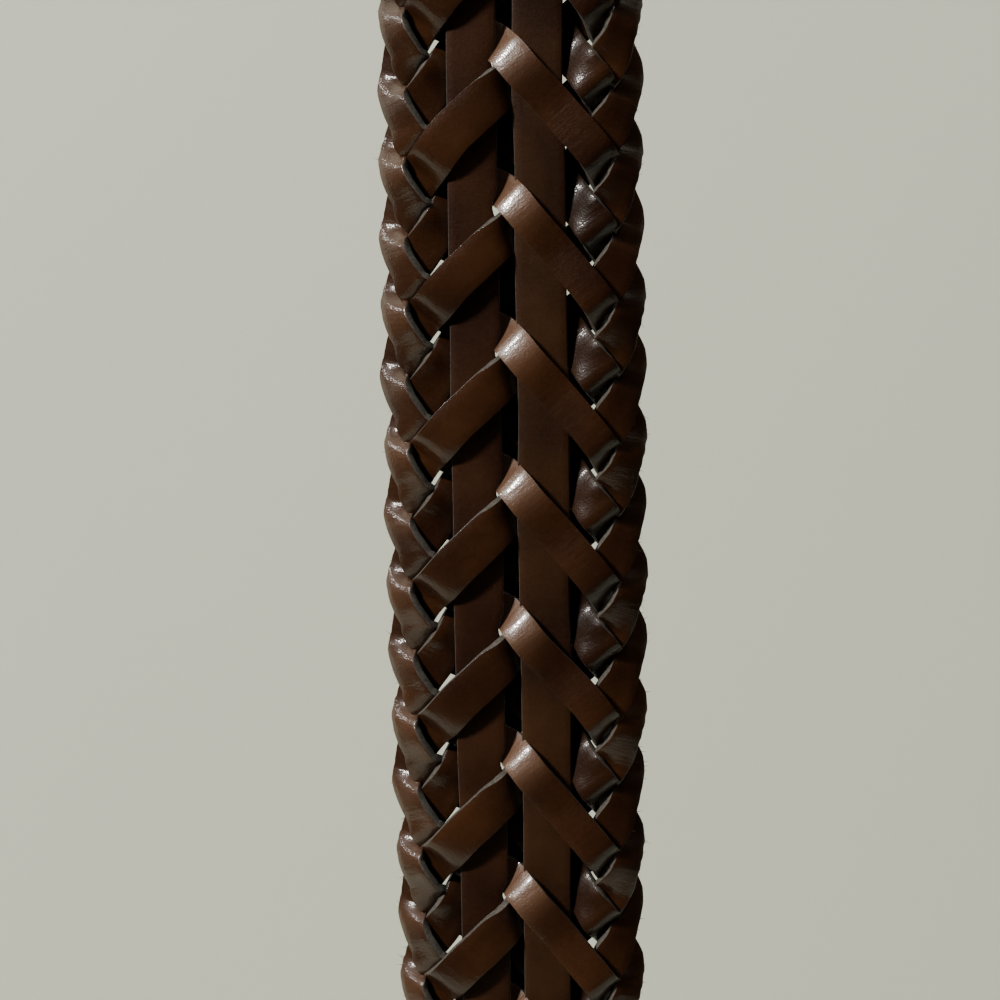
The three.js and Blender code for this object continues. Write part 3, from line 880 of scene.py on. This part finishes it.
KEEPER_BACK = 3.5
KEEPER_FRONT = -12.6
KEEPER_HALF = 19.8
KEEPER_WALL = 1.9
KEEPER_CORNER = 2.2
STITCH_LENGTH = 2.3
STITCH_STEP = 3.2
STITCH_INSET = 2.4
STITCH_HALF_WIDTH = 0.36
STITCH_HALF_DEPTH = 0.26
STITCH_RISE = 0.02


def route_points(route, step):
    """Even points along a route of (y, z) corners, and how far along each one is."""
    route = np.array(route)
    length = np.concatenate([[0], np.cumsum(np.linalg.norm(np.diff(route, axis=0), axis=1))])
    wanted = np.linspace(0, length[-1], int(length[-1] / step) + 1)
    return np.stack([np.interp(wanted, length, route[:, k]) for k in (0, 1)], axis=1), wanted


def flare_rows(half_near, half_far, z_near, z_far):
    """A smooth widening between two half depths, as (y, z) points."""
    rows = []
    for t in np.linspace(0, 1, 9):
        rows.append((half_near + (half_far - half_near) * smooth(t), z_near + (z_far - z_near) * t))
    return rows


def buckle_tab():
    """The folded tab: from its mouth up the front, round the bar and down the back."""
    wall = [(POCKET_HALF, TAB_MOUTH)] + flare_rows(POCKET_HALF, THIN_HALF, POCKET_FLOOR, POCKET_FLOOR + FLARE)
    neck = math.acos(THIN_HALF / EYE_RADIUS)
    angles = np.linspace(-neck, math.pi + neck, 26)
    eye = [(-EYE_RADIUS * math.cos(a), BAR_Z + EYE_RADIUS * math.sin(a)) for a in angles]
    route = [(-y, z) for y, z in wall] + eye + list(reversed(wall))
    places, along = route_points(route, 0.9)
    half = TAB_WIDTH / 2
    lanes = np.array([-1, -0.8, -0.6, -0.4, -SLOT_HALF / half, SLOT_HALF / half, 0.4, 0.6, 0.8, 1]) * half
    points = np.empty((len(places), len(lanes), 3))
    points[:, :, 0] = lanes[None, :]
    points[:, :, 1] = places[:, :1]
    points[:, :, 2] = places[:, 1:]
    piece = grid_strip("folded_tab", points * MM, along * MM, lanes * MM)
    bpy.context.view_layer.objects.active = piece
    bpy.ops.object.mode_set(mode="EDIT")
    bpy.ops.mesh.select_mode(type="FACE")
    bpy.ops.mesh.select_all(action="DESELECT")
    bpy.ops.object.mode_set(mode="OBJECT")
    for face in piece.data.polygons:
        face.select = abs(face.center.x) < 0.5 * MM and face.center.z > (BAR_Z - EYE_RADIUS - 5) * MM
    bpy.ops.object.mode_set(mode="EDIT")
    bpy.ops.mesh.delete(type="FACE")
    bpy.ops.mesh.select_mode(type="VERT")
    bpy.ops.object.mode_set(mode="OBJECT")

    def outward(centre):
        if centre.z > BAR_Z * MM:
            return Vector((0, centre.y, centre.z - BAR_Z * MM))
        return Vector((0, centre.y, 0))

    finish_strip(piece, DARK_GRAIN, TAB_WALL, TAB_ROUNDING, outward)
    belongs(piece, "buckle_tab")


def tip_half_width(z):
    """The tip's outline: straight sides, then a rounded end."""
    half = TAB_WIDTH / 2
    rounded = half * TIP_POINT
    t = np.clip((TIP_END + rounded - z) / rounded, 0, 1)
    return half * np.sqrt(np.maximum(1 - t**TIP_BLUNTNESS, 0.0004))


def tip_tab():
    """The tip: two glued walls with a rounded end, parted at the mouth for the braid."""
    floor = TIP_MOUTH - TIP_POCKET
    wall = [(POCKET_HALF, TIP_MOUTH)] + flare_rows(POCKET_HALF, THIN_HALF, floor, floor - FLARE)
    straight, _ = route_points(wall + [(THIN_HALF, TIP_END + TIP_ROUND)], 1.2)
    angles = np.linspace(0, math.pi / 2, 30)[1:]
    round_z = TIP_END + TIP_ROUND - TIP_ROUND * np.sin(angles)
    z = np.concatenate([straight[:, 1], round_z])
    y = np.concatenate([straight[:, 0], np.full(len(round_z), THIN_HALF)])
    lanes = np.linspace(-1, 1, 13)
    halves = tip_half_width(z)
    for way, name in ((-1, "tip_front"), (1, "tip_back")):
        points = np.empty((len(z), len(lanes), 3))
        points[:, :, 0] = halves[:, None] * lanes[None, :]
        points[:, :, 1] = way * y[:, None]
        points[:, :, 2] = z[:, None]
        piece = grid_strip(name, points * MM, -z * MM, lanes * TAB_WIDTH / 2 * MM)
        finish_strip(piece, DARK_GRAIN, TAB_WALL, TAB_ROUNDING, lambda centre, way=way: Vector((0, way, 0)))
        belongs(piece, "tip_tab")


def keeper_loop():
    """The keeper: a flat band bent round the tab, with room for the belt's other end."""
    centre_y = (KEEPER_BACK + KEEPER_FRONT) / 2
    half_y = (KEEPER_BACK - KEEPER_FRONT) / 2
    route = []
    for k, (sx, sy) in enumerate(((1, -1), (1, 1), (-1, 1), (-1, -1))):
        start = -math.pi / 2 + k * math.pi / 2
        for a in np.linspace(start, start + math.pi / 2, 9):
            x = sx * (KEEPER_HALF - KEEPER_CORNER) + KEEPER_CORNER * math.cos(a)
            y = sy * (half_y - KEEPER_CORNER) + KEEPER_CORNER * math.sin(a)
            route.append((x, y))
    route.append(route[0])
    places, along = route_points(route, 0.8)
    lanes = np.linspace(-KEEPER_WIDTH / 2, KEEPER_WIDTH / 2, 7)
    points = np.empty((len(places), len(lanes), 3))
    points[:, :, 0] = places[:, :1]
    points[:, :, 1] = places[:, 1:] + centre_y
    points[:, :, 2] = KEEPER_MIDDLE + lanes[None, :]
    piece = grid_strip("keeper_band", points * MM, along * MM, lanes * MM, closed=True)
    finish_strip(
        piece,
        DARK_GRAIN,
        KEEPER_WALL,
        TAB_ROUNDING,
        lambda centre: Vector((centre.x * 0.35, centre.y - centre_y * MM, 0)),
    )
    belongs(piece, "keeper_loop")


def tip_stitches(top):
    """Places and turns of the stitches that run round the tip, an even way in from its outline."""
    closer = TIP_END + 16
    level = np.concatenate([np.arange(top, closer, -0.2), np.linspace(closer, TIP_END, 400)])
    side = np.column_stack([tip_half_width(level), level])
    side[-1, 0] = 0
    run = np.gradient(side, axis=0)
    run /= np.linalg.norm(run, axis=1)[:, None]
    inner = side + STITCH_INSET * np.column_stack([run[:, 1], -run[:, 0]])
    inner = inner[inner[:, 0] > 0]
    length = np.concatenate([[0], np.cumsum(np.linalg.norm(np.diff(inner, axis=0), axis=1))])
    places = []
    for s in np.arange(0.5 * STITCH_STEP, length[-1], STITCH_STEP):
        x, z = (float(np.interp(s, length, inner[:, k])) for k in (0, 1))
        ahead, drop = (float(np.interp(s + 0.5, length, inner[:, k])) - v for k, v in ((0, x), (1, z)))
        turn = math.atan2(ahead, -drop)
        places.append((x, z, -turn))
        places.append((-x, z, turn))
    return places


def stitch_rows():
    """Places and turns of all the stitches, on the fronts and backs of both tabs."""
    places = []
    edge = TAB_WIDTH / 2 - STITCH_INSET
    for z in np.arange(POCKET_FLOOR + FLARE + 2, BAR_Z - EYE_RADIUS - 2.5, STITCH_STEP):
        for x in (-edge, edge):
            places.append((x, z, 0.0))
    for x in np.arange(-edge + STITCH_STEP, edge - 1, STITCH_STEP):
        places.append((x, POCKET_FLOOR + FLARE + 0.9, math.pi / 2))
    places += tip_stitches(TIP_MOUTH - TIP_POCKET - FLARE - 1.5)
    return places


def stitches():
    """Waxed thread: one rounded stitch beside another, half sunk in the leather."""
    thread, tree, shader = shader_of("waxed_thread", (0.05, 0.026, 0.014), 0.5)
    place = tree.nodes.new("ShaderNodeTexCoord")
    twist = noise(tree, place.outputs["Object"], 2200, 2)
    tints = [(0.4, (0.03, 0.015, 0.008)), (0.7, (0.075, 0.04, 0.022))]
    tree.links.new(colours(tree, twist, tints), shader.inputs["Base Color"])
    surface = THIN_HALF + TAB_WALL / 2 + STITCH_RISE
    hidden = KEEPER_WIDTH / 2 + 0.4
    made = []
    for x, z, turn in stitch_rows():
        if KEEPER_MIDDLE - hidden < z < KEEPER_MIDDLE + hidden:
            continue
        for way in (-1, 1):
            bpy.ops.mesh.primitive_uv_sphere_add(
                segments=8,
                ring_count=6,
                radius=1,
                location=(x * MM, way * surface * MM, z * MM),
                rotation=(0, turn, 0),
                scale=(STITCH_HALF_WIDTH * MM, STITCH_HALF_DEPTH * MM, STITCH_LENGTH / 2 * MM),
            )
            made.append(bpy.context.object)
    bpy.ops.object.select_all(action="DESELECT")
    for each in made:
        each.select_set(True)
    bpy.context.view_layer.objects.active = made[0]
    bpy.ops.object.join()
    bpy.ops.object.transform_apply(location=True, rotation=True, scale=True)
    bpy.ops.object.shade_smooth()
    piece = bpy.context.object
    piece.name = "tab_stitches"
    piece.data.materials.append(thread)
    piece.select_set(False)
    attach(piece, "root")


def aged_brass():
    made, tree, shader = shader_of("aged_brass", (0.62, 0.46, 0.25), 0.32)
    shader.inputs["Metallic"].default_value = 1.0
    place = tree.nodes.new("ShaderNodeTexCoord")
    cloud = noise(tree, place.outputs["Object"], 160, 5, 0.6)
    tints = [(0.35, (0.36, 0.25, 0.12)), (0.6, (0.60, 0.44, 0.23)), (0.8, (0.70, 0.54, 0.31))]
    tree.links.new(colours(tree, cloud, tints), shader.inputs["Base Color"])
    lines = noise(tree, stretched(tree, place.outputs["Object"], (300, 300, 5000)), 1.0, 2)
    tree.links.new(bump(tree, lines, 0.12, 0.00005), shader.inputs["Normal"])
    tree.links.new(spread(tree, cloud, (0.0, 1.0), (0.22, 0.46)), shader.inputs["Roughness"])
    return made


def rounded_frame_route():
    """The middle line of the buckle frame's band: up one side, over the top and down the other."""
    half = OPENING_WIDTH / 2 + FRAME_BAND / 2
    top = FRAME_TOP - FRAME_BAND / 2
    radius = FRAME_CORNER - FRAME_BAND / 2 + 1.5
    low = BAR_Z - FRAME_FOOT
    route = [(-half, z) for z in np.linspace(low, top - radius, 12)]
    for a in np.linspace(math.pi, math.pi / 2, 10)[1:]:
        route.append((-half + radius + radius * math.cos(a), top - radius + radius * math.sin(a)))
    route += [(x, top) for x in np.linspace(-half + radius, half - radius, 14)[1:]]
    for a in np.linspace(math.pi / 2, 0, 10)[1:]:
        route.append((half - radius + radius * math.cos(a), top - radius + radius * math.sin(a)))
    route += [(half, z) for z in np.linspace(top - radius, low, 12)[1:]]
    return np.array(route)


def swept_bar(name, centres, sides, half_wide, half_deep, roundness, material):
    """A closed bar with a rounded section and rounded ends, made from a grid primitive set along a route."""
    ends = np.array([0.0, 0.4, 0.7, 0.9, 1.0])
    start = centres[0] - centres[1]
    finish = centres[-1] - centres[-2]
    head = centres[0] + BAR_END * ends[::-1, None] * start / np.linalg.norm(start)
    tail = centres[-1] + BAR_END * ends[:, None] * finish / np.linalg.norm(finish)
    centres = np.vstack([head, centres[1:-1], tail])
    first = np.repeat(sides[:1], len(ends), axis=0)
    last = np.repeat(sides[-1:], len(ends), axis=0)
    sides = np.vstack([first, sides[1:-1], last])
    shrink = np.sqrt(1 - ends**2)
    half_wide = np.concatenate([half_wide[0] * shrink[::-1], half_wide[1:-1], half_wide[-1] * shrink])
    half_deep = np.concatenate([half_deep[0] * shrink[::-1], half_deep[1:-1], half_deep[-1] * shrink])
    piece, mesh, row, lane = grid_piece(name, len(centres), BAR_FACETS + 1)
    angle = lane / BAR_FACETS * 2 * math.pi
    c, s = np.cos(angle), np.sin(angle)
    wide = np.sign(c) * np.abs(c) ** roundness * half_wide[row]
    deep = np.sign(s) * np.abs(s) ** roundness * half_deep[row]
    places = centres[row] + sides[row] * wide[:, None] + np.array([0.0, 1.0, 0.0]) * deep[:, None]
    mesh.vertices.foreach_set("co", (places * MM).ravel())
    mesh.update()
    bpy.ops.object.mode_set(mode="EDIT")
    bpy.ops.mesh.select_all(action="SELECT")
    bpy.ops.mesh.remove_doubles(threshold=0.000001)
    bpy.ops.mesh.normals_make_consistent(inside=False)
    bpy.ops.object.mode_set(mode="OBJECT")
    bpy.ops.object.shade_smooth_by_angle(angle=math.radians(50))
    mesh.materials.append(material)
    piece.select_set(False)
    return piece


# The prong, from its hook under the bar to its point on the frame, in millimetres from the bar
PRONG_ROWS = [
    # y, above the bar, half width, half thickness
    (1.6, -2.4, 1.5, 0.7),
    (-1.2, -2.9, 1.7, 0.9),
    (-3.0, -0.6, 1.7, 1.1),
    (-3.6, 4.0, 1.7, 1.2),
    (-3.4, 12.0, 1.7, 1.2),
    (-3.3, 22.0, 1.65, 1.15),
    (-3.3, 29.0, 1.6, 1.1),
    (-3.3, 34.0, 1.5, 0.95),
    (-3.2, 35.6, 1.2, 0.7),
    (-3.1, 36.2, 0.6, 0.3),
]
PRONG_STATIONS = 60
BAR_STATIONS = 20


def buckle_frame(brass):
    route = rounded_frame_route()
    run = np.gradient(route, axis=0)
    run /= np.linalg.norm(run, axis=1)[:, None]
    centres = np.stack([route[:, 0], np.zeros(len(route)), route[:, 1]], axis=1)
    sides = np.stack([-run[:, 1], np.zeros(len(route)), run[:, 0]], axis=1)
    half_wide = np.full(len(route), FRAME_BAND / 2)
    half_deep = np.full(len(route), FRAME_HALF_DEPTH)
    return swept_bar("buckle_frame", centres, sides, half_wide, half_deep, 0.55, brass)


def buckle_bar(brass):
    reach = OPENING_WIDTH / 2 + 2
    x = np.linspace(-reach, reach, BAR_STATIONS)
    centres = np.stack([x, np.zeros(BAR_STATIONS), np.full(BAR_STATIONS, BAR_Z)], axis=1)
    up = np.tile([0.0, 0.0, 1.0], (BAR_STATIONS, 1))
    radius = np.full(BAR_STATIONS, BAR_RADIUS)
    return swept_bar("buckle_bar", centres, up, radius, radius, 1.0, brass)


def buckle_prong(brass):
    rows = np.array(PRONG_ROWS)
    fine = np.linspace(0, len(rows) - 1, PRONG_STATIONS)
    y, z, wide, deep = (np.interp(fine, np.arange(len(rows)), rows[:, k]) for k in range(4))
    centres = np.stack([np.zeros(PRONG_STATIONS), y, z + BAR_Z], axis=1)
    across = np.tile([1.0, 0.0, 0.0], (PRONG_STATIONS, 1))
    return swept_bar("buckle_prong", centres, across, wide, deep, 0.7, brass)


def buckle():
    """The frame, its bar and its prong."""
    brass = aged_brass()
    for piece in (buckle_frame(brass), buckle_bar(brass), buckle_prong(brass)):
        belongs(piece, "buckle")


def daylight(name, place, aim, size, power, colour):
    data = bpy.data.lights.new(name, "AREA")
    data.shape = "RECTANGLE"
    data.size, data.size_y = size
    data.energy = power
    data.color = colour
    made = bpy.data.objects.new(name, data)
    bpy.context.scene.collection.objects.link(made)
    made.location = place
    made.rotation_euler = (Vector(aim) - Vector(place)).to_track_quat("-Z", "Y").to_euler()


VIEW_AIM = Vector((-0.0019, 0, -0.4660))
VIEW_DISTANCE = 0.30
VIEW_PITCH = math.radians(10.5)
VIEW_ROLL = math.radians(-0.85)
FRAME_HEIGHT = 0.140
SENSOR_WIDTH = 36

WALL_PAINT = (0.62, 0.645, 0.54)
SURROUND = (0.64, 0.64, 0.57)

LIGHTS = [
    # name, across, towards the back, above the aim, width, height, watts, colour
    ("window", -1.52, -1.22, 1.44, 0.34, 0.26, 112, (1.0, 0.97, 0.92)),
    ("lamp", -1.9, 0.05, 0.80, 0.16, 0.16, 6, (1.0, 0.98, 0.95)),
    ("ceiling", 0.7, -0.9, 2.1, 0.9, 0.7, 15, (1.0, 0.98, 0.95)),
]


def camera():
    data = bpy.data.cameras.new("photo_view")
    data.sensor_width = SENSOR_WIDTH
    data.lens = SENSOR_WIDTH * VIEW_DISTANCE / FRAME_HEIGHT
    data.clip_start = 0.01
    made = bpy.data.objects.new("photo_view", data)
    bpy.context.scene.collection.objects.link(made)
    made.location = VIEW_AIM + VIEW_DISTANCE * Vector((0, -math.cos(VIEW_PITCH), math.sin(VIEW_PITCH)))
    made.rotation_euler = (math.pi / 2 - VIEW_PITCH, 0, 0)
    made.rotation_euler.rotate_axis("Z", VIEW_ROLL)
    bpy.context.scene.camera = made


def wall_paint():
    """Pale paint that shows from the front only, so that the wall hides nothing from behind."""
    paint, tree, shader = shader_of("wall_paint", WALL_PAINT, 0.9)
    face = tree.nodes.new("ShaderNodeNewGeometry")
    clear = tree.nodes.new("ShaderNodeBsdfTransparent")
    either = tree.nodes.new("ShaderNodeMixShader")
    tree.links.new(face.outputs["Backfacing"], either.inputs[0])
    tree.links.new(shader.outputs["BSDF"], either.inputs[1])
    tree.links.new(clear.outputs["BSDF"], either.inputs[2])
    tree.links.new(either.outputs["Shader"], tree.nodes["Material Output"].inputs["Surface"])
    return paint


def surround():
    """A pale surround past the wall's edges, which the camera sees and which lights nothing."""
    world = bpy.data.worlds.new("surround")
    world.use_nodes = True
    world.node_tree.nodes["Background"].inputs["Color"].default_value = (*SURROUND, 1)
    rays = world.cycles_visibility
    rays.diffuse = rays.glossy = rays.transmission = rays.scatter = False
    bpy.context.scene.world = world


def room():
    paint = wall_paint()
    bpy.ops.mesh.primitive_plane_add(size=3, location=(0, 0.32, 0.38), rotation=(math.pi / 2, 0, 0))
    wall = bpy.context.object
    wall.name = "wall"
    wall.data.materials.append(paint)
    bpy.ops.mesh.primitive_plane_add(size=2.0, location=(0, 0.5, -1.12))
    floor = bpy.context.object
    floor.name = "floor"
    floor.data.materials.append(paint)
    surround()
    aim = (0, 0, VIEW_AIM.z)
    for name, x, y, above, width, height, watts, colour in LIGHTS:
        daylight(name, (x, y, VIEW_AIM.z + above), aim, (width, height), watts, colour)


camera()
for index in range(LACE_COUNT):
    lace(index)
strap("strap_left", "core_left", STRAP_LEFT, DARK_GRAIN, "dark_leather", 5)
strap("strap_right", "core_right", STRAP_RIGHT, STRAP_GRAIN, "brown_leather", 15)
frayed_edges()
buckle_tab()
tip_tab()
keeper_loop()
stitches()
buckle()
room()
